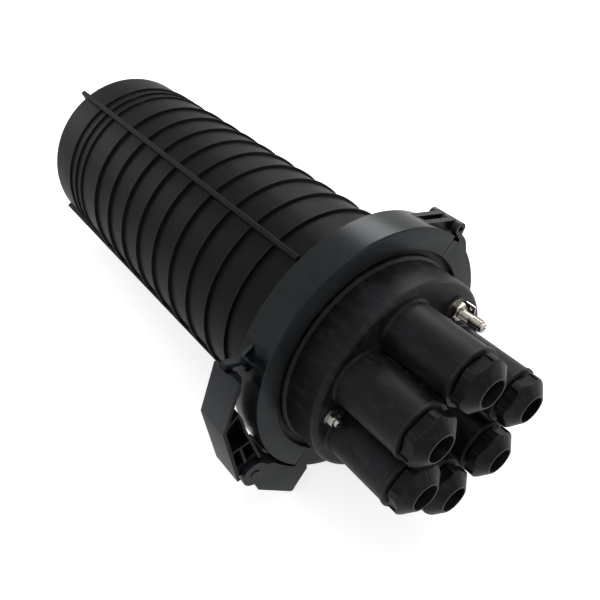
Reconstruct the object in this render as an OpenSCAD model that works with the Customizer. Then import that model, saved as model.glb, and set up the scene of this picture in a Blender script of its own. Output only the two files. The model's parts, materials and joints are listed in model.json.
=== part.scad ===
// Dome splice closure for fibre cable, lying on its side with the cable ports to +X.
//
// Everything is drawn in the closure's own frame first: X is the axis of the dome, the front
// face of the clamp ring is x = 0, and an angle is counted from +Y towards +Z.  The module
// resting() then lays the closure down, on the clamp ring, the latch lug and the dome's tip.

/* [Dome] */
// Distance from the front of the clamp ring to the dome's closed end
dome_len = 432; // [400:1:460]
// Outer radius of the dome wall beside the clamp ring
dome_r = 92.3; // [90:0.1:93]
// Outer radius of the dome wall at the closed end
dome_tip_r = 90.4; // [86:0.1:92]
// Wall thickness of the dome
dome_wall = 3; // [2.5:0.1:3.5]
// Number of hoop ribs along the dome
rib_count = 9; // [5:1:9]
// Spacing of the hoop ribs
rib_pitch = 31; // [26:1:31]
// Height of the hoop ribs above the wall
rib_h = 2.6; // [1.5:0.1:3]
// Number of straight ribs along the dome
spine_count = 4; // [2:1:6]

/* [Clamp ring] */
// Outer radius of the clamp ring
ring_r = 115; // [113:1:116]
// Width of the clamp ring along the axis
ring_w = 31; // [30:0.5:32]
// Inner radius of the clamp ring's two lips
ring_bore = 95.5; // [95:0.1:97]
// Direction of the hinge from the axis, in degrees
hinge_angle = 45; // [40:1:50]
// Distance of the hinge pin from the axis
hinge_r = 121.6; // [121.3:0.1:122]
// Radius of the hinge knuckles
knuckle_r = 5.2; // [5:0.1:5.4]

/* [Latch] */
// Thickness of the lever's outer wall
lever_wall = 3; // [2.5:0.1:3.5]
// Thickness of the lever's ribs
lever_rib = 2.2; // [1.8:0.1:2.6]
// Radius of the latch pin
latch_pin_r = 3; // [2.5:0.1:3.2]

/* [Base] */
// Outer radius of the base
base_r = 88; // [87:0.1:89]
// Distance from the clamp ring's front to the base's face
base_len = 33.8; // [32:0.1:36]
// Wall thickness of the base
base_wall = 4; // [3.5:0.1:4.5]
// Rounding of the base's front rim
rim_round = 5; // [3:0.5:6]

/* [Cable ports] */
// Radius of the circle that the ports stand on
port_circle = 55.5; // [55:0.1:56]
// Angle from one port to the next, in degrees
port_pitch = 53.2; // [53:0.1:54]
// Outer radius of a port tube
tube_r = 23.6; // [23:0.1:23.8]
// Distance from the clamp ring's front to the end of a port tube
tube_end = 97; // [90:1:100]
// Inner radius of a port tube
tube_bore = 19.5; // [18.5:0.1:20]
// Radius of the gland nuts' cable bore
gland_bore = 11.2; // [9:0.1:11.3]
// Width of a gland nut across its flats
nut_af = 41.8; // [41:0.1:42]

/* [Splice trays] */
// Number of splice trays
tray_count = 4; // [2:1:4]
// Length of a tray
tray_len = 230; // [200:5:240]
// Width of a tray
tray_w = 128; // [110:2:130]
// Height of a tray's rim
tray_h = 11; // [9:0.5:11]

/* [Hidden] */

$fn = 72;
black = "#2b2d2e";
grey = "#3a3c40";

// The flanges that the clamp ring draws together
ring_wall = 4.5;
lip_w = 5;
flange_r = 107.5;
flange_x = -15.5;
flange_back = -ring_w + lip_w;
flange_edge = 1.2;
base_shell_r = base_r - base_wall;
dome_inner_r = dome_r - dome_wall;
dome_slope = (dome_r - dome_tip_r) / (dome_len - ring_w);
first_rib = -77.4;
spine_angle = hinge_angle + 68;
foot_h = 4;
run_gap = 0.3;

// Clamp ring: the halves part on the line through the hinge and the latch
latch_angle = hinge_angle + 180;
half_gap = 0.25;
knuckle_w = ring_w / 5;
knuckle_gap = 0.2;
hinge_pin_r = 2.2;
pin_play = 0.05;

// Latch: lever_pivot is the axis of the latch pin, and lug_corner is what the closure rests on
lever_pivot = polar(134.6, latch_angle - 18.4);
lug_corner = [-84.5, -ring_r];
fork_w = 5;
fork_r = 12;
eye_r = 9.6;
pin_head_r = 4.4;

// Ports
port_start = hinge_angle + 180 - 2.5 * port_pitch;
spigot_r = 17.3;
spigot_end = 103.5;
seal_r = 14;
seal_head = 2;
thrust_w = 2.2;
nut_back = 98.6;
nut_front = 115;
nut_corner = 22.6;
flat_end = 106.6;
flat_depth = 1;
flat_w = 16.4;
nut_turn = [8, 22, 40, 12, 30, 50];

// Fittings on the base's face
valve_at = polar(68, hinge_angle - 2);
valve_r = 3.8;
stud_at = polar(73, latch_angle - 52);
stud_r = 3;
stud_thread_r = 2.7;
stud_end = base_len + 10.5;

// Splice trays: they lie on a frame whose floor faces the latch
tray_turn = latch_angle - 270;
frame_floor = -44;
frame_sheet = 1.5;
tray_floor = -34;
tray_front = -62;
tray_corner = 24;
strap_t = 1.4;

// Rest: the axis dips towards the dome's tip
rest_tilt = atan2(ring_r - dome_tip_r, dome_len - ring_w);
rest_lift = ring_w * sin(rest_tilt) + ring_r * cos(rest_tilt);
rest_x = 160.9;
rest_y = 14.69;

function polar(r, a) = [r * cos(a), r * sin(a)];
function arc(c, r, a0, a1, n) = [for (i = [0:n]) c + polar(r, a0 + (a1 - a0) * i / n)];
function unit(v) = v / norm(v);
function side(v) = [-v[1], v[0]];
// Points of a strip of thickness t that follows a path, with mitred corners
function mitre(path, i) =
    let (last = len(path) - 1,
         before = unit(path[max(i, 1)] - path[max(i, 1) - 1]),
         after = unit(path[min(i, last - 1) + 1] - path[min(i, last - 1)]),
         along = unit(before + after))
    side(along) / (side(along) * side(before));
function strip(path, t) = concat(
    [for (i = [0:len(path) - 1]) path[i] + mitre(path, i) * t / 2],
    [for (i = [len(path) - 1:-1:0]) path[i] - mitre(path, i) * t / 2]);
function port_angle(i) = port_start + port_pitch * (i - 1);
function port_at(i) = polar(port_circle, port_angle(i));
function dome_wall_r(x) = dome_r + (x + ring_w) * dome_slope;

module resting() {
    translate([rest_x, rest_y, rest_lift]) rotate([0, -rest_tilt, 0]) children();
}

// Turns a profile of [radius, x] points about the axis, from angle a0 through sweep degrees
module turned(a0 = 0, sweep = 360) {
    rotate([0, 90, 0]) rotate([0, 0, 90 + a0]) rotate_extrude(angle = sweep, $fn = 180) children();
}

// Extrudes a drawing of [y, z] points along the axis, from x0 to x1
module along(x0, x1) {
    translate([x0, 0, 0]) rotate([90, 0, 90]) linear_extrude(x1 - x0) children();
}

// A round bar or bore along the axis at the point p = [y, z]
module rod(p, r, x0, x1) {
    translate([x0, p[0], p[1]]) rotate([0, 90, 0]) cylinder(r = r, h = x1 - x0);
}

// ---- Dome ----

function hoop(x, top, foot, h) = [
    [dome_wall_r(x + foot / 2), x + foot / 2], [dome_wall_r(x) + h, x + top / 2],
    [dome_wall_r(x) + h, x - top / 2], [dome_wall_r(x - foot / 2), x - foot / 2]];

function hoops(i) = i == rib_count + 3 ? [] : concat(
    i < rib_count ? hoop(first_rib - rib_pitch * i, 2, 3.6, rib_h)
                  : hoop(-dome_len + 70 - 14 * (i - rib_count), 1.4, 2.8, rib_h * 0.7),
    hoops(i + 1));

module dome_profile() {
    polygon(concat(
        [[dome_inner_r, flange_x], [flange_r, flange_x], [flange_r, flange_back + flange_edge],
         [flange_r - flange_edge, flange_back], [dome_wall_r(flange_back) + 3, flange_back],
         [dome_wall_r(flange_back - 3), flange_back - 3]],
        hoops(0),
        [[dome_tip_r + 0.2, 3 - dome_len], [dome_tip_r - 1.2, -dome_len], [78, -dome_len],
         [74, 2 - dome_len], [0, 2 - dome_len], [0, 5 - dome_len],
         [dome_tip_r - dome_wall - 5, 5 - dome_len], [dome_tip_r - dome_wall, 10 - dome_len]]));
}

// A straight rib over the hoops, with or without a foot past the dome's tip
module spine(foot) {
    top = dome_r + rib_h + 0.3;
    along(foot ? -dome_len - foot_h : 0.6 - dome_len, -50)
        polygon([[dome_tip_r - 1.5, -2.8], [top - 0.6, -2.4], [top, -1.6],
                 [top, 1.6], [top - 0.6, 2.4], [dome_tip_r - 1.5, 2.8]]);
    if (foot) along(-dome_len - foot_h, -dome_len + 3) translate([dome_tip_r - 7, -2.8]) square([6.5, 5.6]);
}

module dome_cover() {
    color(black) {
        turned() dome_profile();
        for (i = [0:spine_count - 1]) rotate([spine_angle + 360 / spine_count * i, 0, 0])
            spine(foot = i % 2 == 0);
    }
}

// ---- Base ----

module base_profile() {
    polygon(concat(
        [[0, base_len - base_wall], [base_shell_r - 3, base_len - base_wall],
         [base_shell_r, base_len - base_wall - 3], [base_shell_r, flange_x],
         [95.8, flange_x], [95.8, flange_x + 4], [102.2, flange_x + 4], [102.2, flange_x],
         [flange_r, flange_x], [flange_r, -lip_w - flange_edge], [flange_r - flange_edge, -lip_w],
         [base_r + 2.4, -lip_w], [base_r + 2.4, -1.5], [base_r + 1.2, -0.3], [base_r + 0.1, 0.6]],
        [for (p = arc([base_r - rim_round, base_len - rim_round], rim_round, 0, 90, 6)) p],
        [[0, base_len]]));
}

// Outside of a port tube with its flared root, end collar and threaded spigot
module port_tube() {
    rotate([0, 90, 0]) rotate_extrude()
        polygon([[0, base_len - 1], [tube_r + 1.6, base_len - 1], [tube_r + 1.6, base_len],
                 [tube_r + 0.5, base_len + 1.1], [tube_r, base_len + 2.8], [tube_r, tube_end - 3.2],
                 [tube_r + 0.9, tube_end - 2.7], [tube_r + 0.9, tube_end - 0.5],
                 [tube_r + 0.4, tube_end], [spigot_r + 3, tube_end], [spigot_r + 3, tube_end - 1.5],
                 [spigot_r, tube_end - 1.5], [spigot_r, spigot_end - 1], [spigot_r - 0.8, spigot_end],
                 [0, spigot_end]]);
}

module port_bore() {
    rotate([0, 90, 0]) rotate_extrude()
        polygon([[0, base_len - base_wall - 1], [tube_bore + 1, base_len - base_wall - 1],
                 [tube_bore, base_len - base_wall + 1], [tube_bore, tube_end - 12],
                 [seal_r + 0.1, tube_end - 9], [seal_r + 0.1, spigot_end + 1], [0, spigot_end + 1]]);
}

module base_body() {
    color(black) difference() {
        union() {
            turned() base_profile();
            for (i = [1:6]) translate([0, port_at(i)[0], port_at(i)[1]]) port_tube();
            rod([0, 0], 10, base_len - 1, base_len + 1.5);
            for (i = [1:5]) rotate([port_angle(i) + port_pitch / 2, 0, 0])
                along(base_len - 1, base_len + 6) translate([31, -0.9]) square([7, 1.8]);
            rod(valve_at, 11.5, base_len - 1, base_len + 1);
            rod(stud_at, 7.5, base_len - 1, base_len + 1);
            for (y = [-17, 17], z = [-12, 12]) rotate([tray_turn, 0, 0])
                rod([y, z], 4.5, base_len - base_wall - 4, base_len - base_wall + 1);
        }
        for (i = [1:6]) translate([0, port_at(i)[0], port_at(i)[1]]) port_bore();
        rod(valve_at, valve_r + 0.1, 0, base_len + 5);
        rod(stud_at, stud_r + 0.1, 0, base_len + 5);
        for (y = [-17, 17], z = [-12, 12]) rotate([tray_turn, 0, 0])
            rod([y, z], 1.8, base_len - base_wall - 5, base_len - 2);
    }
}

module flange_seal() {
    color("#1c1c1d") turned() polygon([[96, flange_x], [102, flange_x], [102, flange_x + 3.4],
        [101.4, flange_x + 4], [96.6, flange_x + 4], [96, flange_x + 3.4]]);
}

// ---- Clamp ring ----

// Channel section of the ring; gap is the play between its lips and the flanges
module channel(gap) {
    front = -lip_w + gap;
    back = flange_back - gap;
    inner = ring_r - ring_wall;
    polygon([[ring_bore, -0.6], [ring_bore + 0.6, 0], [ring_r - 1.4, 0], [ring_r - 0.4, -0.5],
             [ring_r, -1.6], [ring_r, 1 - ring_w], [ring_r - 1, -ring_w], [ring_bore + 1, -ring_w],
             [ring_bore, 1 - ring_w], [ring_bore, back], [flange_r - flange_edge, back],
             [inner, back + 2], [inner, front - 2], [flange_r - flange_edge, front], [ring_bore, front]]);
}

// Outline of an upper knuckle, whose arm slopes down to the ring
module upper_knuckle() {
    pin = polar(hinge_r, hinge_angle);
    foot = polar(ring_r - 0.5, hinge_angle + 19);
    reach = acos(knuckle_r / norm(foot - pin));
    lean = atan2((foot - pin)[1], (foot - pin)[0]);
    translate(pin) circle(knuckle_r);
    polygon([pin, pin + polar(knuckle_r * 0.97, lean - reach), foot, polar(ring_r - 3, hinge_angle + 19),
             polar(ring_r - 3, hinge_angle + 4), polar(ring_r + 1.2, hinge_angle + 4)]);
}

// Outline of a lower knuckle, which stands on a neck and a shoulder on the ring
module lower_knuckle() {
    pin = polar(hinge_r, hinge_angle);
    translate(pin) circle(knuckle_r);
    polygon([pin, pin + polar(knuckle_r * 0.97, hinge_angle - 82), polar(ring_r + 4.5, hinge_angle - 3),
             polar(ring_r + 4.1, hinge_angle - 6.6), polar(ring_r + 3.2, hinge_angle - 8.8),
             polar(ring_r - 0.3, hinge_angle - 13.5), polar(ring_r - 3, hinge_angle - 13.5),
             polar(ring_r - 3, hinge_angle - 0.8), polar(ring_r + 1, hinge_angle - 0.8)]);
}

module hinge_bore() {
    rod(polar(hinge_r, hinge_angle), hinge_pin_r, -ring_w - 1, 1);
}

module knuckles(slots) {
    for (k = slots) along(-ring_w + k * knuckle_w + knuckle_gap,
                          -ring_w + (k + 1) * knuckle_w - (k < 4 ? knuckle_gap : 0)) children();
}

module clamp_half_upper() {
    color(grey) difference() {
        union() {
            turned(hinge_angle + half_gap, 180 - 2 * half_gap) channel(run_gap);
            knuckles([1, 3]) upper_knuckle();
            along(-25, -17)
                polygon([polar(ring_r - 2, latch_angle - 66.1), polar(ring_r + 3.8, latch_angle - 65.9),
                         polar(ring_r + 3.8, latch_angle - 64.9), polar(ring_r - 2, latch_angle - 62.8)]);
            along(-22.5, -19.5)
                polygon([polar(ring_r - 2, latch_angle - 70), polar(ring_r + 6, latch_angle - 69.8),
                         polar(ring_r + 5.6, latch_angle - 70.6), polar(ring_r + 0.6, latch_angle - 74.4),
                         polar(ring_r - 2, latch_angle - 75)]);
            along(-25, -6) polygon(strip([polar(ring_r - 2, latch_angle - 16.5),
                polar(ring_r + 1.2, latch_angle - 19), polar(ring_r + 1.8, latch_angle - 23)], lever_rib));
        }
        hinge_bore();
    }
}

// The lower half carries the lug that the latch lever turns on
module lug_outline() {
    translate(lever_pivot) circle(fork_r);
    polygon(concat(
        [lever_pivot, polar(122, latch_angle - 17.6)],
        [for (a = [-14:2.9:0.5]) polar(ring_r + 0.9 - 0.16 * a, latch_angle + a)],
        [polar(ring_r - 2, latch_angle + 0.5), polar(ring_r - 2, latch_angle + 7.5),
         polar(ring_r + 3, latch_angle + 9.4), lug_corner + [2.5, 3.5], lug_corner,
         lug_corner + [-2.5, 0.7], lever_pivot + [1.2, -22.5],
         lever_pivot + polar(fork_r - 0.2, 262)]));
}

module clamp_half_lower() {
    color(grey) difference() {
        union() {
            turned(latch_angle + half_gap, 180 - 2 * half_gap) channel(0);
            knuckles([0, 2, 4]) lower_knuckle();
            along(-ring_w + knuckle_gap, 0) lug_outline();
        }
        hinge_bore();
        along(-5, 1) polygon([polar(ring_r + 0.6, hinge_angle + 0.5), polar(ring_r - 3.6, hinge_angle + 0.5),
                              polar(ring_r - 1.8, hinge_angle - 4.6), polar(ring_r + 0.4, hinge_angle - 3.4)]);
        rod(lever_pivot, latch_pin_r, -ring_w - 1, 1);
        along(fork_w - ring_w - 0.4, 0.4 - fork_w) {
            translate(lever_pivot) circle(eye_r + 0.7);
            polygon(concat([lever_pivot], arc(lever_pivot, 2 * fork_r, 22, 273, 7)));
        }
    }
}

module clamp_hinge_pin() {
    color("#9a9b9c") rod(polar(hinge_r, hinge_angle), hinge_pin_r - pin_play, -ring_w + 0.8, -3);
}

// ---- Latch lever ----

lever_tip = polar(135, latch_angle - 66);
lever_bend = polar(143, latch_angle - 47.7);
lever_end = polar(146.8, latch_angle - 22.8);
rib_top = polar(131.2, latch_angle - 53.4);
rib_knee = polar(128.2, latch_angle - 50.6);
rib_foot = polar(122.6, latch_angle - 24.8);
web_end = polar(146.8, latch_angle - 23.6);
web_foot = polar(122.6, latch_angle - 25.6);

// Side plates between the lever's outer wall and its inner wall, and under its nose
module lever_web() {
    polygon([polar(134, latch_angle - 65.7), polar(138.6, latch_angle - 55.5), polar(126, latch_angle - 55.5),
             polar(122, latch_angle - 54.2), polar(120.4, latch_angle - 57), polar(121.6, latch_angle - 63),
             polar(126.5, latch_angle - 65.6)]);
    polygon([polar(142, latch_angle - 49.5), lever_bend, web_end, lever_pivot + polar(fork_r, 178),
             lever_pivot, web_foot, polar(125.4, latch_angle - 44), rib_knee, rib_top]);
}

module lever_walls() {
    polygon(strip([lever_tip, lever_bend, lever_end], lever_wall));
    polygon(strip([polar(142, latch_angle - 49.5), rib_top, rib_knee, polar(125.4, latch_angle - 44),
                   rib_foot], lever_rib));
    polygon(strip([polar(142.6, latch_angle - 37.5), polar(124, latch_angle - 37.5)], lever_rib));
    polygon(strip([polar(132.6, latch_angle - 37.2), polar(133.8, latch_angle - 28.5)], lever_rib));
}

module latch_lever() {
    color("#4a4c50") difference() {
        union() {
            along(-ring_w, 0) lever_walls();
            along(-ring_w / 2 - 1.5, -ring_w / 2 + 1.5) lever_web();
            along(fork_w - ring_w + 0.3, -fork_w - 0.3) {
                translate(lever_pivot) circle(eye_r);
                polygon([lever_pivot + polar(eye_r, 186), web_end, polar(141, latch_angle - 26),
                         polar(124, latch_angle - 26), web_foot, lever_pivot + polar(eye_r, 20)]);
            }
            along(-24.5, -18)
                polygon([polar(136.2, latch_angle - 65.2), polar(135.8, latch_angle - 68.2),
                         polar(118.2, latch_angle - 68.6), polar(117.2, latch_angle - 68.1),
                         polar(117.2, latch_angle - 67.3), polar(130, latch_angle - 66.6),
                         polar(127, latch_angle - 64.4), polar(133, latch_angle - 63)]);
        }
        rod(lever_pivot, latch_pin_r + pin_play, -ring_w, 0);
        for (x = [-ring_w - 1, -fork_w - 0.3]) along(x, x + fork_w + 1.3)
            translate(lever_pivot) circle(fork_r + 0.8);
    }
}

module latch_pin() {
    color("#9a9b9c") {
        rod(lever_pivot, latch_pin_r, -ring_w + 0.3, 0.2);
        translate([0, lever_pivot[0], lever_pivot[1]]) rotate([0, 90, 0]) rotate_extrude()
            polygon([[0, 0], [pin_head_r, 0], [pin_head_r, 0.5], [pin_head_r - 0.6, 1.1], [0, 1.1]]);
    }
}

// ---- Gland nuts, seals and thrust rings ----

// Hexagon whose corners are cut flat; its flats are sunk up to the cone at the front
module gland_nut(i) {
    color("#333537") translate([0, port_at(i)[0], port_at(i)[1]]) difference() {
        intersection() {
            rotate([nut_turn[i - 1], 0, 0]) along(nut_back, nut_front) intersection() {
                circle(r = nut_af / 2 / cos(30), $fn = 6);
                rotate(30) circle(r = nut_corner / cos(30), $fn = 6);
            }
            rotate([0, 90, 0]) rotate_extrude()
                polygon([[0, nut_back], [nut_af / 2 + 1, nut_back], [nut_af / 2 + 2.6, nut_back + 1.6],
                         [nut_af / 2 + 2.6, nut_front - 9], [nut_af / 2 + 1, nut_front - 7.4],
                         [gland_bore + 1.4, nut_front], [0, nut_front]]);
        }
        for (a = [30:60:330]) rotate([nut_turn[i - 1] + a, 0, 0])
            along(nut_back - 1, flat_end) translate([nut_af / 2 - flat_depth, -flat_w / 2]) square([3, flat_w]);
        rod([0, 0], spigot_r + run_gap, nut_back - 1, spigot_end + seal_head + thrust_w + run_gap);
        rod([0, 0], gland_bore, nut_back, nut_front + 1);
    }
}

module port_seal(i) {
    color("#19191a") translate([0, port_at(i)[0], port_at(i)[1]]) rotate([0, 90, 0]) rotate_extrude()
        polygon([[gland_bore + 0.2, tube_end - 8], [seal_r - 1.5, tube_end - 8], [seal_r, tube_end - 5],
                 [seal_r, spigot_end], [spigot_r - 0.9, spigot_end], [spigot_r - 0.9, spigot_end + seal_head],
                 [gland_bore + 0.2, spigot_end + seal_head]]);
}

module thrust_ring(i) {
    color("#cfd0cc") translate([0, port_at(i)[0], port_at(i)[1]]) rotate([0, 90, 0]) rotate_extrude()
        translate([gland_bore + 0.4, spigot_end + seal_head]) square([spigot_r - gland_bore - 0.7, thrust_w]);
}

// ---- Air valve and earth stud ----

module valve_stem() {
    color("#b9b7b0") {
        rod(valve_at, valve_r, base_len - base_wall - 0.5, base_len + 24);
        rod(valve_at, 8, base_len - base_wall - 3.5, base_len - base_wall);
    }
}

// Washer with a tongue bent forward, drilled for a seal wire
module valve_tag() {
    face = base_len + 1;
    color("#b9b7b0") difference() {
        union() {
            rod(valve_at, 10, face, face + 1.2);
            along(face, face + 1.2) translate([valve_at[0] + 5, valve_at[1] - 3.5]) square([6.2, 7]);
            along(face, face + 11) translate([valve_at[0] + 10, valve_at[1] - 3.5]) square([1.2, 7]);
        }
        rod(valve_at, valve_r + 0.1, face - 1, face + 3);
        translate([face + 7.6, valve_at[0] + 8, valve_at[1]]) rotate([-90, 0, 0]) cylinder(r = 1.5, h = 5);
    }
}

module hex_nut(p, af, h, r, x0) {
    difference() {
        intersection() {
            translate([x0, p[0], p[1]]) rotate([90, 0, 90]) linear_extrude(h) circle(r = af / 2 / cos(30), $fn = 6);
            translate([x0, p[0], p[1]]) rotate([0, 90, 0]) rotate_extrude()
                polygon([[0, 0], [af / 2 + 1.2, 0], [af / 2 + 1.2, h - 1], [af / 2 - 0.2, h], [0, h]]);
        }
        rod(p, r, x0 - 1, x0 + h + 1);
    }
}

module valve_nut() {
    color("#c4c2bb") hex_nut(valve_at, 14, 5, valve_r + 0.05, base_len + 2.2);
}

module valve_cap() {
    x0 = base_len + 24 + run_gap;
    color("#c4c2bb") translate([0, valve_at[0], valve_at[1]]) difference() {
        union() {
            rod([0, 0], 4.9, x0 - 6, x0 + 2.5);
            rod([0, 0], 3.9, x0 + 2.5, x0 + 5);
            for (a = [0:24:336]) rotate([a, 0, 0]) along(x0 - 5, x0 + 1.6) translate([4.5, -0.5]) square([0.8, 1]);
        }
        rod([0, 0], valve_r + run_gap, x0 - 7, x0);
        along(x0 + 3.8, x0 + 6) square([9, 1.2], center = true);
    }
}

// Inside its nut the stud has its thread's mean radius
module earth_stud() {
    color("#b9b7b0") {
        rod(stud_at, stud_r, base_len - base_wall - 0.5, base_len + 2);
        rod(stud_at, stud_thread_r, base_len, stud_end - 1);
        rod(stud_at, stud_r, stud_end - 3, stud_end);
        rod(stud_at, 6, base_len - base_wall - 3.5, base_len - base_wall);
    }
}

module earth_washer() {
    color("#c4c2bb") difference() {
        rod(stud_at, 6.8, base_len + 1, base_len + 2.2);
        rod(stud_at, stud_r + 0.1, base_len, base_len + 3);
    }
}

module earth_nut() {
    color("#c4c2bb") hex_nut(stud_at, 10, 5, stud_thread_r + 0.05, base_len + 2.2);
}

// ---- Splice trays and their frame, in a frame turned so that their floor faces the latch ----

function frame_rear() = tray_front - tray_len - 12;

module tray_frame() {
    foot_x = base_len - base_wall - 4;
    color("#a3a5a4") rotate([tray_turn, 0, 0]) difference() {
        union() {
            translate([foot_x - 2, -26, -20]) cube([2, 52, 40]);
            for (y = [-26, 24]) translate([0, y, 0]) rotate([90, 0, 0]) mirror([0, 0, 1]) linear_extrude(2)
                polygon([[foot_x, 20], [foot_x, -20], [tray_front - 4, frame_floor],
                         [tray_front - 18, frame_floor], [tray_front - 18, frame_floor + 8],
                         [tray_front + 6, frame_floor + 8], [foot_x - 14, 20]]);
            translate([frame_rear(), -50, frame_floor]) cube([tray_front + 10 - frame_rear(), 100, frame_sheet]);
            for (y = [-50, 50 - frame_sheet]) translate([frame_rear(), y, frame_floor])
                cube([tray_front - frame_rear(), frame_sheet, tray_floor - frame_floor]);
        }
        for (y = [-17, 17], z = [-12, 12]) rod([y, z], 2.1, foot_x - 3, foot_x + 1);
        for (x = [frame_rear() + 40:60:tray_front - 30])
            translate([x, 0, frame_floor - 1]) linear_extrude(4) square([34, 50], center = true);
        for (y = [-36, -12, 12, 36]) translate([tray_front - 9, y, frame_floor - 1]) cylinder(r = 1.8, h = 4);
    }
}

module frame_screws() {
    head_x = base_len - base_wall - 6;
    color("#c4c2bb") rotate([tray_turn, 0, 0]) for (y = [-17, 17], z = [-12, 12]) {
        rod([y, z], 1.7, head_x - 0.5, head_x + 8);
        rod([y, z], 3.4, head_x - 2.4, head_x);
    }
}

// Saddles that grip a cable's strength member at the front of the frame
module core_clamps() {
    color("#c4c2bb") rotate([tray_turn, 0, 0]) for (y = [-36, -12, 12, 36])
        translate([tray_front - 9, y, frame_floor + frame_sheet]) difference() {
            union() {
                translate([-5, -7, 0]) cube([10, 14, 3.4]);
                translate([0, 0, 3.4]) cylinder(r = 3.2, h = 2.2);
                translate([0, 0, -4]) cylinder(r = 1.7, h = 6);
            }
            for (y = [-4.6, 4.6]) translate([-6, y, 1.4]) rotate([0, 90, 0]) cylinder(r = 1.1, h = 12);
        }
}

// Stepped block on the frame that the trays' front ends hook into
module tray_hinge_block() {
    color("#d9dad6") rotate([tray_turn, 0, 0]) difference() {
        translate([tray_front + 1, -23, frame_floor + frame_sheet])
            cube([7, 46, tray_floor - frame_floor - frame_sheet + tray_count * tray_h]);
        for (k = [0:tray_count - 1]) for (y = [-19, 9]) translate([tray_front, y, tray_floor + k * tray_h + 3])
            cube([9, 10, 5]);
    }
}

module tray_outline(inset) {
    offset(r = tray_corner - inset, $fn = 32)
        square([tray_len - 2 * tray_corner, tray_w - 2 * tray_corner], center = true);
}

// Tray k: a shallow pan with fibre guides, a splice comb and tie tabs
module splice_tray(k) {
    color("#dfe2df") rotate([tray_turn, 0, 0])
        translate([tray_front - tray_len / 2, 0, tray_floor + (k - 1) * tray_h]) {
            difference() {
                linear_extrude(tray_h) tray_outline(0);
                translate([0, 0, 1.6]) linear_extrude(tray_h) tray_outline(1.6);
            }
            for (x = [-tray_len / 2 + 44, tray_len / 2 - 44]) translate([x, 0, 1]) difference() {
                cylinder(r = 31, h = 7);
                translate([0, 0, -1]) cylinder(r = 29.4, h = 9);
                translate([sign(x) * -31, 0, 3]) cube([40, 30, 12], center = true);
            }
            for (i = [0:6]) translate([-20, -13.2 + 4.4 * i - 0.5, 1]) cube([40, 1, 5.5]);
            for (x = [-60, 0, 60], s = [-1, 1])
                translate([x - 5, s * (tray_w / 2 - 4.6) - 3.6, tray_h - 2.2]) cube([10, 7.2, 1.2]);
        }
}

module tray_lid() {
    color("#eceff0") rotate([tray_turn, 0, 0])
        translate([tray_front - tray_len / 2, 0, tray_floor + tray_count * tray_h]) difference() {
            linear_extrude(2) tray_outline(0);
            translate([-tray_len / 2 + 18, 0, -1]) linear_extrude(4) square([10, 40], center = true);
        }
}

module tray_strap() {
    low = frame_floor;
    high = tray_floor + tray_count * tray_h + 2;
    half = tray_w / 2;
    around = [[-half, tray_floor], [-50, low], [50, low], [half, tray_floor], [half, high], [-half, high]];
    color("#1b1b1c") rotate([tray_turn, 0, 0]) along(tray_front - tray_len / 2 - 10, tray_front - tray_len / 2 + 10)
        difference() {
            offset(delta = strap_t) polygon(around);
            polygon(around);
        }
}

resting() base_body();
resting() dome_cover();
resting() flange_seal();
resting() clamp_half_upper();
resting() clamp_half_lower();
resting() clamp_hinge_pin();
resting() latch_lever();
resting() latch_pin();
resting() gland_nut(1);  // gland_nut_1
resting() gland_nut(2);  // gland_nut_2
resting() gland_nut(3);  // gland_nut_3
resting() gland_nut(4);  // gland_nut_4
resting() gland_nut(5);  // gland_nut_5
resting() gland_nut(6);  // gland_nut_6
resting() port_seal(1);  // port_seal_1
resting() port_seal(2);  // port_seal_2
resting() port_seal(3);  // port_seal_3
resting() port_seal(4);  // port_seal_4
resting() port_seal(5);  // port_seal_5
resting() port_seal(6);  // port_seal_6
resting() thrust_ring(1);  // thrust_ring_1
resting() thrust_ring(2);  // thrust_ring_2
resting() thrust_ring(3);  // thrust_ring_3
resting() thrust_ring(4);  // thrust_ring_4
resting() thrust_ring(5);  // thrust_ring_5
resting() thrust_ring(6);  // thrust_ring_6
resting() valve_stem();
resting() valve_tag();
resting() valve_nut();
resting() valve_cap();
resting() earth_stud();
resting() earth_washer();
resting() earth_nut();
resting() tray_frame();
resting() frame_screws();
resting() core_clamps();
resting() tray_hinge_block();
resting() splice_tray(1);  // splice_tray_1
resting() splice_tray(2);  // splice_tray_2
resting() splice_tray(3);  // splice_tray_3
resting() splice_tray(4);  // splice_tray_4
resting() tray_lid();
resting() tray_strap();
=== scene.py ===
# %% [markdown]
# # A dome splice closure
#
# This closure keeps the joints of fibre cables dry.  A long ribbed dome and a base with six cable
# ports are held together by a clamp ring in two halves, which a latch lever draws shut.  The solids
# come ready made from a CAD model.  This lesson frames them, lights them, and gives every piece the
# finish and the small detail that a solid model leaves out.

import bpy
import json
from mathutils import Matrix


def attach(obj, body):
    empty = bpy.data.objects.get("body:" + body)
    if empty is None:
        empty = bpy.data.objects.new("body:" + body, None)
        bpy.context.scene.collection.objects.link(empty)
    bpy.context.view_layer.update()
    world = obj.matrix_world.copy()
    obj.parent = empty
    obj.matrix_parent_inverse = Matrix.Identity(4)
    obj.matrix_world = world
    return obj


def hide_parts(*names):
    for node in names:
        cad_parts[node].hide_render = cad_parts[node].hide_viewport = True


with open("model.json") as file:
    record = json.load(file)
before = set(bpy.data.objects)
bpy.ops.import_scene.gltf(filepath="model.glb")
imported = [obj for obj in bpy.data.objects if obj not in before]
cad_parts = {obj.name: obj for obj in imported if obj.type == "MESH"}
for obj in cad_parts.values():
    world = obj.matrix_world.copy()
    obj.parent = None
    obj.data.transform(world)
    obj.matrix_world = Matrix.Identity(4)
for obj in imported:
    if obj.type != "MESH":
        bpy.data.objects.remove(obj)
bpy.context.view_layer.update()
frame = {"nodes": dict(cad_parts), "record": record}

import json
import math

import bmesh
import bpy
from mathutils import Matrix, Vector

nodes = frame["nodes"]
scene = bpy.context.scene

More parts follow.
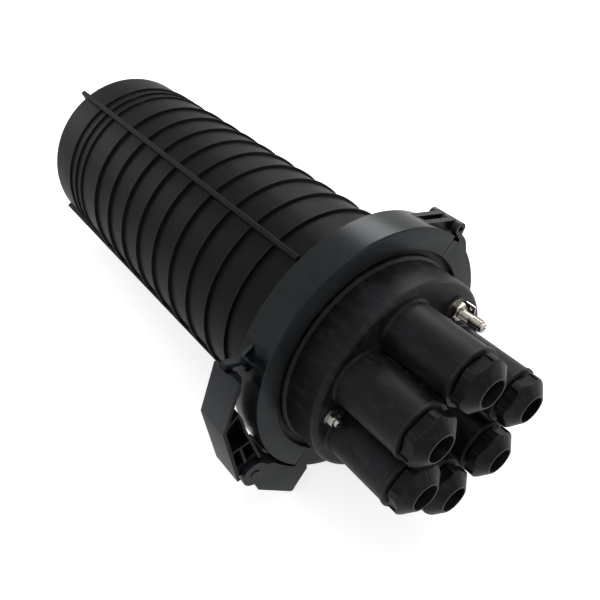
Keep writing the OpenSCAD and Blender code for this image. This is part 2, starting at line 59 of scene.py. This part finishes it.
# %% [markdown]
# ## Camera
#
# The camera stands to the port side of the closure, above it, and looks down at 45 degrees.  The
# lens is short enough for the near ports to look larger than the far end of the dome.  A small shift
# slides the frame over the picture without turning the camera.

# %% Set the camera
camera_data = bpy.data.cameras.new("view")
camera_data.lens = 41.3
camera_data.sensor_width = 36
camera_data.shift_x = 0.0368
camera_data.shift_y = 0.0327
camera = bpy.data.objects.new("view", camera_data)
camera.location = (0.4186, -0.2699, 0.5337)
camera.rotation_euler = (math.radians(45.0), 0, math.radians(53.74))
scene.collection.objects.link(camera)
scene.camera = camera
print("camera at", tuple(round(v, 3) for v in camera.location))

# %% [markdown]
# ## Floor and light
#
# Black plastic shows itself by what it reflects, so the light matters more than its colour.  One wide
# lamp above gives the long soft sheen along the dome, a second on the port side picks out the nuts,
# and a pale room fills the rest.  The room and the floor look white to the camera and in mirrors, but
# light the closure only softly.

# %% Make the floor
def seen_directly(tree):
    """A factor that is 1 for what the camera, a mirror or glass sees, and 0 for the light on surfaces."""
    path = tree.nodes.new("ShaderNodeLightPath")
    factor = path.outputs["Is Camera Ray"]
    for ray in ("Is Glossy Ray", "Is Transmission Ray"):
        larger = tree.nodes.new("ShaderNodeMath")
        larger.operation = "MAXIMUM"
        tree.links.new(factor, larger.inputs[0])
        tree.links.new(path.outputs[ray], larger.inputs[1])
        factor = larger.outputs[0]
    return factor


floor_mesh = bpy.data.meshes.new("floor")
bm = bmesh.new()
bmesh.ops.create_grid(bm, x_segments=1, y_segments=1, size=4, matrix=Matrix.Translation((0, 0, -0.0003)))
bm.to_mesh(floor_mesh)
bm.free()
floor = bpy.data.objects.new("floor", floor_mesh)
scene.collection.objects.link(floor)

pale = bpy.data.materials.new("pale floor")
pale.use_nodes = True
tree = pale.node_tree
tree.nodes.clear()
diffuse = tree.nodes.new("ShaderNodeBsdfDiffuse")
diffuse.inputs["Color"].default_value = (0.8, 0.8, 0.8, 1)
glow = tree.nodes.new("ShaderNodeEmission")
glow.inputs["Color"].default_value = (1, 1, 1, 1)
glow.inputs["Strength"].default_value = 0.72
both = tree.nodes.new("ShaderNodeAddShader")
mix = tree.nodes.new("ShaderNodeMixShader")
output = tree.nodes.new("ShaderNodeOutputMaterial")
tree.links.new(diffuse.outputs[0], both.inputs[0])
tree.links.new(glow.outputs[0], both.inputs[1])
tree.links.new(seen_directly(tree), mix.inputs[0])
tree.links.new(diffuse.outputs[0], mix.inputs[1])
tree.links.new(both.outputs[0], mix.inputs[2])
tree.links.new(mix.outputs[0], output.inputs["Surface"])
floor_mesh.materials.append(pale)
print("floor of", round(floor.dimensions.x, 1), "m")

# %% Make the room and the lamps
world = bpy.data.worlds.new("pale room")
scene.world = world
world.use_nodes = True
tree = world.node_tree
tree.nodes.clear()
fill = tree.nodes.new("ShaderNodeBackground")
fill.inputs["Color"].default_value = (1, 1, 1, 1)
fill.inputs["Strength"].default_value = 0.3
white = tree.nodes.new("ShaderNodeBackground")
white.inputs["Color"].default_value = (1, 1, 1, 1)
white.inputs["Strength"].default_value = 1
mix = tree.nodes.new("ShaderNodeMixShader")
output = tree.nodes.new("ShaderNodeOutputWorld")
tree.links.new(seen_directly(tree), mix.inputs[0])
tree.links.new(fill.outputs[0], mix.inputs[1])
tree.links.new(white.outputs[0], mix.inputs[2])
tree.links.new(mix.outputs[0], output.inputs["Surface"])


def lamp(name, place, target, size, power):
    """A rectangular lamp at place that faces target."""
    data = bpy.data.lights.new(name, "AREA")
    data.shape = "RECTANGLE"
    data.size, data.size_y = size
    data.energy = power
    thing = bpy.data.objects.new(name, data)
    thing.location = place
    thing.rotation_euler = (Vector(target) - Vector(place)).to_track_quat("-Z", "Y").to_euler()
    scene.collection.objects.link(thing)
    return thing


lamp("back lamp", (-0.85, 1.15, 1.15), (0, 0, 0.1), (0.9, 0.6), 15)
lamp("overhead lamp", (0.1, 0.1, 1.5), (0, 0, 0.1), (1.0, 1.0), 4.5)
lamp("port side lamp", (1.3, -0.2, 0.9), (0.1, 0, 0.1), (0.7, 0.7), 1.8)
lamp("latch side lamp", (-0.2, -1.4, 0.7), (0, 0, 0.1), (1.0, 0.6), 2.2)
lamp("dome end lamp", (-1.5, -0.5, 0.55), (-0.1, 0, 0.1), (0.8, 0.6), 6.0)
lamp("hinge side lamp", (0.5, 1.5, 0.35), (0, 0, 0.1), (0.8, 0.5), 4.0)
scene.view_settings.view_transform = "Standard"
print("six lamps and a pale room")

# %% [markdown]
# ## Finishes
#
# Almost everything is the same black moulded plastic, yet the pieces don't look alike: the dome has a
# fine spark-eroded grain, the ring is smoother and a touch blue, and the base has faint flow marks.
# One node group makes the grain, the flow marks and a painted highlight along sharp edges, and
# each material sets its own amounts.

# %% Moulded plastic, shared by every plastic material
def socket(group, name, way, kind, value=None):
    """Adds a named input or output to a node group."""
    made = group.interface.new_socket(name=name, in_out=way, socket_type=kind)
    if value is not None:
        made.default_value = value
    return made


def maths(tree, operation, *values):
    """A Math node; each value is a number or a socket."""
    node = tree.nodes.new("ShaderNodeMath")
    node.operation = operation
    for slot, value in zip(node.inputs, values):
        if isinstance(value, (int, float)):
            slot.default_value = value
        else:
            tree.links.new(value, slot)
    return node.outputs[0]


def noise(tree, place, scale, detail, roughness=0.5):
    """A Noise texture on the given coordinates."""
    node = tree.nodes.new("ShaderNodeTexNoise")
    node.inputs["Scale"].default_value = scale
    node.inputs["Detail"].default_value = detail
    node.inputs["Roughness"].default_value = roughness
    tree.links.new(place, node.inputs["Vector"])
    return node.outputs["Fac"]


def tint(tree, factor, low, high):
    """Mixes two colours, each a socket or a colour, by a factor."""
    node = tree.nodes.new("ShaderNodeMix")
    node.data_type = "RGBA"
    tree.links.new(factor, node.inputs["Factor"])
    for slot, value in ((node.inputs[6], low), (node.inputs[7], high)):
        if isinstance(value, tuple):
            slot.default_value = value
        else:
            tree.links.new(value, slot)
    return node.outputs[2]


def moulded_group():
    group = bpy.data.node_groups.new("moulded plastic", "ShaderNodeTree")
    socket(group, "Color", "INPUT", "NodeSocketColor", (0.01, 0.01, 0.01, 1))
    # Second colour: the flow marks take it, and so does the painted highlight along sharp edges.
    socket(group, "Mark And Edge Highlight Color", "INPUT", "NodeSocketColor", (0.06, 0.06, 0.06, 1))
    socket(group, "Gloss", "INPUT", "NodeSocketFloat", 0.4)
    socket(group, "Grain", "INPUT", "NodeSocketFloat", 1.0)
    socket(group, "Flow", "INPUT", "NodeSocketFloat", 0.3)
    socket(group, "Dust", "INPUT", "NodeSocketFloat", 0.1)
    socket(group, "Color", "OUTPUT", "NodeSocketColor")
    socket(group, "Roughness", "OUTPUT", "NodeSocketFloat")
    socket(group, "Height", "OUTPUT", "NodeSocketFloat")
    given = group.nodes.new("NodeGroupInput")
    result = group.nodes.new("NodeGroupOutput")
    place = group.nodes.new("ShaderNodeTexCoord").outputs["Object"]
    shape = group.nodes.new("ShaderNodeNewGeometry")
    drawn = group.nodes.new("ShaderNodeMapping")
    drawn.inputs["Scale"].default_value = (0.45, 1, 1)
    group.links.new(place, drawn.inputs["Vector"])
    drawn = drawn.outputs["Vector"]
    flow = maths(group, "MULTIPLY", noise(group, drawn, 16.0, 4, 0.6), 0.45)
    flow = maths(group, "ADD", flow, maths(group, "MULTIPLY", noise(group, drawn, 130.0, 6, 0.75), 0.55))
    fine = noise(group, place, 2400.0, 2)
    coarse = noise(group, place, 700.0, 2)
    dust = noise(group, place, 260.0, 6, 0.7)
    specks = maths(group, "MULTIPLY", maths(group, "GREATER_THAN", dust, 0.72), given.outputs["Dust"])
    # Painted highlight: sharp edges (high pointiness) are mixed towards the paler second colour to stand in for
    # the light that edges catch. The flow streaks added to it are real marks.
    edge = maths(group, "MULTIPLY", maths(group, "SUBTRACT", shape.outputs["Pointiness"], 0.51), 14.0)
    edge = maths(group, "MULTIPLY", maths(group, "MAXIMUM", maths(group, "MINIMUM", edge, 1.0), 0.0), 0.7)
    streaks = maths(group, "MULTIPLY", maths(group, "SUBTRACT", flow, 0.47), maths(group, "MULTIPLY", given.outputs["Flow"], 3.2))
    flow_marks_and_edge_highlight = maths(group, "MAXIMUM", maths(group, "MINIMUM", maths(group, "ADD", edge, streaks), 1.0), 0.0)
    colour = tint(group, flow_marks_and_edge_highlight, given.outputs["Color"], given.outputs["Mark And Edge Highlight Color"])
    colour = tint(group, specks, colour, (0.25, 0.25, 0.24, 1))
    rough = maths(group, "ADD", given.outputs["Gloss"], maths(group, "MULTIPLY", streaks, 0.2))
    speckle = maths(group, "MULTIPLY", maths(group, "SUBTRACT", coarse, 0.5), given.outputs["Grain"])
    rough = maths(group, "ADD", rough, maths(group, "MULTIPLY", speckle, 0.12))
    height = maths(group, "MULTIPLY", maths(group, "ADD", fine, coarse), given.outputs["Grain"])
    group.links.new(colour, result.inputs["Color"])
    group.links.new(rough, result.inputs["Roughness"])
    group.links.new(height, result.inputs["Height"])
    return group


moulded = moulded_group()
print("group", moulded.name, "with", len(moulded.nodes), "nodes")

# %% Plastic materials
def plastic(name, colour, mark_and_edge_highlight, gloss, grain, flow, dust, specular=0.5, sheen=(1.0, 1.0, 1.0)):
    """A moulded plastic material from the shared group."""
    material = bpy.data.materials.new(name)
    material.use_nodes = True
    tree = material.node_tree
    shader = tree.nodes["Principled BSDF"]
    group = tree.nodes.new("ShaderNodeGroup")
    group.node_tree = moulded
    group.inputs["Color"].default_value = (*colour, 1)
    # The second colour is taken by the flow marks and by the painted highlight along sharp edges.
    group.inputs["Mark And Edge Highlight Color"].default_value = (*mark_and_edge_highlight, 1)
    group.inputs["Gloss"].default_value = gloss
    group.inputs["Grain"].default_value = grain
    group.inputs["Flow"].default_value = flow
    group.inputs["Dust"].default_value = dust
    bump = tree.nodes.new("ShaderNodeBump")
    bump.inputs["Strength"].default_value = 0.35
    bump.inputs["Distance"].default_value = 0.0001
    tree.links.new(group.outputs["Color"], shader.inputs["Base Color"])
    tree.links.new(group.outputs["Roughness"], shader.inputs["Roughness"])
    tree.links.new(group.outputs["Height"], bump.inputs["Height"])
    tree.links.new(bump.outputs["Normal"], shader.inputs["Normal"])
    shader.inputs["Specular IOR Level"].default_value = specular
    shader.inputs["Specular Tint"].default_value = (*sheen, 1)
    return material


# The second colour of each plastic is taken by its flow marks and by the painted highlight along its edges.
finishes = {
    "dome_plastic": plastic("dome black", (0.0036, 0.0046, 0.0038), (0.024, 0.027, 0.024), 0.48, 1.0, 0.3, 0.10, 0.050, (0.93, 1.0, 0.92)),
    "base_plastic": plastic("base black", (0.0050, 0.0051, 0.0060), (0.046, 0.047, 0.053), 0.48, 0.9, 0.9, 0.15, 0.13, (0.95, 0.97, 1.0)),
    "clamp_plastic": plastic("clamp blue black", (0.0034, 0.0043, 0.0055), (0.085, 0.094, 0.100), 0.27, 0.02, 0.08, 0.08, 0.10, (0.88, 0.96, 1.0)),
    "lever_plastic": plastic("lever black", (0.0034, 0.0042, 0.0060), (0.026, 0.029, 0.034), 0.38, 0.4, 0.25, 0.08, 0.07, (0.88, 0.94, 1.0)),
    "nut_plastic": plastic("nut black", (0.0045, 0.0048, 0.0054), (0.040, 0.041, 0.044), 0.40, 0.9, 1.0, 0.12, 0.09, (0.93, 0.97, 1.0)),
    "seal_rubber": plastic("seal rubber", (0.0040, 0.0040, 0.0040), (0.02, 0.02, 0.02), 0.62, 1.2, 0.3, 0.2, 0.08),
    "thrust_plastic": plastic("thrust ring black", (0.0035, 0.0036, 0.0040), (0.02, 0.02, 0.02), 0.4, 0.4, 0.3, 0.0, 0.06),
    "tray_plastic": plastic("tray white", (0.66, 0.68, 0.67), (0.74, 0.76, 0.75), 0.38, 0.4, 0.3, 0.0),
    "lid_plastic": plastic("lid white", (0.72, 0.74, 0.75), (0.80, 0.82, 0.83), 0.30, 0.3, 0.3, 0.0),
    "strap_fabric": plastic("strap black", (0.010, 0.010, 0.010), (0.03, 0.03, 0.03), 0.8, 2.0, 0.3, 0.2, 0.3),
}
print(len(finishes), "plastics")

# %% [markdown]
# The small metal pieces are plated, not polished: they are bright, a little yellow or grey, and
# brushed finely round their axis, with dull patches where the plating is thin.

# %% Metals
def metal(name, colour, dull, gloss):
    """Plated metal with dull patches and fine scratches."""
    material = bpy.data.materials.new(name)
    material.use_nodes = True
    tree = material.node_tree
    shader = tree.nodes["Principled BSDF"]
    shader.inputs["Metallic"].default_value = 1
    place = tree.nodes.new("ShaderNodeTexCoord").outputs["Object"]
    patches = noise(tree, place, 180.0, 4, 0.6)
    lines = noise(tree, place, 1500.0, 2)
    rough = maths(tree, "ADD", gloss, maths(tree, "MULTIPLY", maths(tree, "SUBTRACT", patches, 0.4), 0.4))
    tree.links.new(tint(tree, patches, (*colour, 1), (*dull, 1)), shader.inputs["Base Color"])
    tree.links.new(rough, shader.inputs["Roughness"])
    bump = tree.nodes.new("ShaderNodeBump")
    bump.inputs["Strength"].default_value = 0.2
    bump.inputs["Distance"].default_value = 0.00005
    tree.links.new(lines, bump.inputs["Height"])
    tree.links.new(bump.outputs["Normal"], shader.inputs["Normal"])
    return material


finishes["pin_steel"] = metal("pin steel", (0.030, 0.031, 0.034), (0.018, 0.018, 0.020), 0.4)
finishes["plated_steel"] = metal("plated steel", (0.46, 0.45, 0.42), (0.26, 0.255, 0.235), 0.22)
finishes["valve_brass"] = metal("nickel plate", (0.44, 0.42, 0.37), (0.24, 0.225, 0.19), 0.2)
finishes["frame_steel"] = metal("galvanised sheet", (0.55, 0.56, 0.56), (0.42, 0.43, 0.44), 0.4)

for part in frame["record"]["subparts"]:
    slots = nodes[part["node"]].data.materials
    slots.clear()
    slots.append(finishes[part["material_slot"]])
print(len(finishes), "finishes on", len(nodes), "nodes")

# %% [markdown]
# ## Rounded edges
#
# No moulded edge is truly sharp, and a sharp one in a render gives itself away because it never
# catches the light.  A CAD node is a loose bag of triangles, so a copy of it is merged into one skin,
# its flat faces are joined again, and only then are its sharp edges bevelled.  The copy stands in for
# the node and rides on the same body.

# %% Round the edges of a copy of a node
body_of = {name: body for body, names in frame["record"]["behaviour"]["bodies"].items() for name in names}
slot_of = {part["node"]: part["material_slot"] for part in frame["record"]["subparts"]}


def show(piece, body, finish):
    """Puts a piece on a body and gives it a finish."""
    piece.data.materials.clear()
    piece.data.materials.append(finishes[finish])
    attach(piece, body)
    return piece


def rounded(name, width, segments=2, sharp=32):
    """Replaces a node by a merged copy whose sharp edges are rounded by width."""
    copy = bpy.data.objects.new(name + "_rounded", nodes[name].data.copy())
    scene.collection.objects.link(copy)
    bm = bmesh.new()
    bm.from_mesh(copy.data)
    bmesh.ops.remove_doubles(bm, verts=bm.verts, dist=0.000004)
    bmesh.ops.dissolve_limit(bm, angle_limit=math.radians(0.6), verts=bm.verts, edges=bm.edges)
    edges = [edge for edge in bm.edges if edge.is_convex and edge.calc_face_angle() > math.radians(sharp)]
    bmesh.ops.bevel(bm, geom=edges, offset=width, offset_type="OFFSET", affect="EDGES", segments=segments,
                    profile=0.5, material=-1, clamp_overlap=True)
    for face in bm.faces:
        face.smooth = True
    for edge in bm.edges:
        edge.smooth = not edge.is_manifold or edge.calc_face_angle() < math.radians(sharp)
    open_edges = sum(not edge.is_manifold for edge in bm.edges)
    bm.to_mesh(copy.data)
    bm.free()
    flat = copy.modifiers.new("flat faces stay flat", "WEIGHTED_NORMAL")
    flat.keep_sharp = True
    flat.mode = "FACE_AREA_WITH_ANGLE"
    flat.weight = 80
    show(copy, body_of[name], slot_of[name])
    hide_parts(name)
    print(name, len(edges), "edges rounded,", len(copy.data.polygons), "faces,", open_edges, "open edges")
    return copy


rounded("clamp_half_upper", 0.0007)
rounded("clamp_half_lower", 0.0007)
rounded("latch_lever", 0.0005)
for i in range(1, 7):
    rounded(f"gland_nut_{i}", 0.0004)
rounded("base_body", 0.0004)
rounded("dome_cover", 0.0004)
for name in ("valve_nut", "valve_tag", "earth_nut", "earth_washer"):
    rounded(name, 0.0002)

# %% [markdown]
# ## Threads
#
# The valve and the stud are screw threads, which a solid model leaves as plain rods.  A thread is one
# small ridge that goes round and forward at once, so a triangle is spun about the rod's axis while
# each step also moves it on by a part of the pitch.

# %% Cut a thread on a rod
tilt = math.atan2(115 - 90.4, 432 - 31)
lift = 31 * math.sin(tilt) + 115 * math.cos(tilt)
closure = Matrix.Translation((0.1609, 0.01469, lift / 1000)) @ Matrix.Rotation(-tilt, 4, "Y")


def thread(name, radius, angle, rod, start, end, pitch, body, finish):
    """A ridge round a rod that stands radius from the closure's axis, from start to end along it, in mm."""
    turns = (end - start) / pitch
    steps = int(turns * 24)
    bm = bmesh.new()
    ridge = [bm.verts.new((along / 1000, 0, out / 1000)) for along, out in
             ((start, rod - 0.1), (start + pitch * 0.42, rod + 0.3), (start + pitch * 0.84, rod - 0.1))]
    edges = [bm.edges.new((ridge[k], ridge[(k + 1) % 3])) for k in range(3)]
    bmesh.ops.spin(bm, geom=ridge + edges, cent=(0, 0, 0), axis=(1, 0, 0), angle=2 * math.pi * turns,
                   steps=steps, dvec=((end - start) / 1000 / steps, 0, 0))
    bmesh.ops.holes_fill(bm, edges=bm.edges, sides=3)
    bmesh.ops.recalc_face_normals(bm, faces=bm.faces)
    turn = math.radians(angle)
    place = closure @ Matrix.Translation((0, radius * math.cos(turn) / 1000, radius * math.sin(turn) / 1000))
    bmesh.ops.transform(bm, matrix=place, verts=bm.verts)
    mesh = bpy.data.meshes.new(name)
    bm.to_mesh(mesh)
    bm.free()
    piece = bpy.data.objects.new(name, mesh)
    scene.collection.objects.link(piece)
    print(name, round(turns, 1), "turns,", len(mesh.polygons), "faces")
    return show(piece, body, finish)


thread("valve_thread", 68, 43, 3.8, 41.3, 51.4, 0.9, "closure", "valve_brass")
thread("stud_thread", 73, 173, 3.0, 41.5, 43.6, 1.0, "closure", "plated_steel")
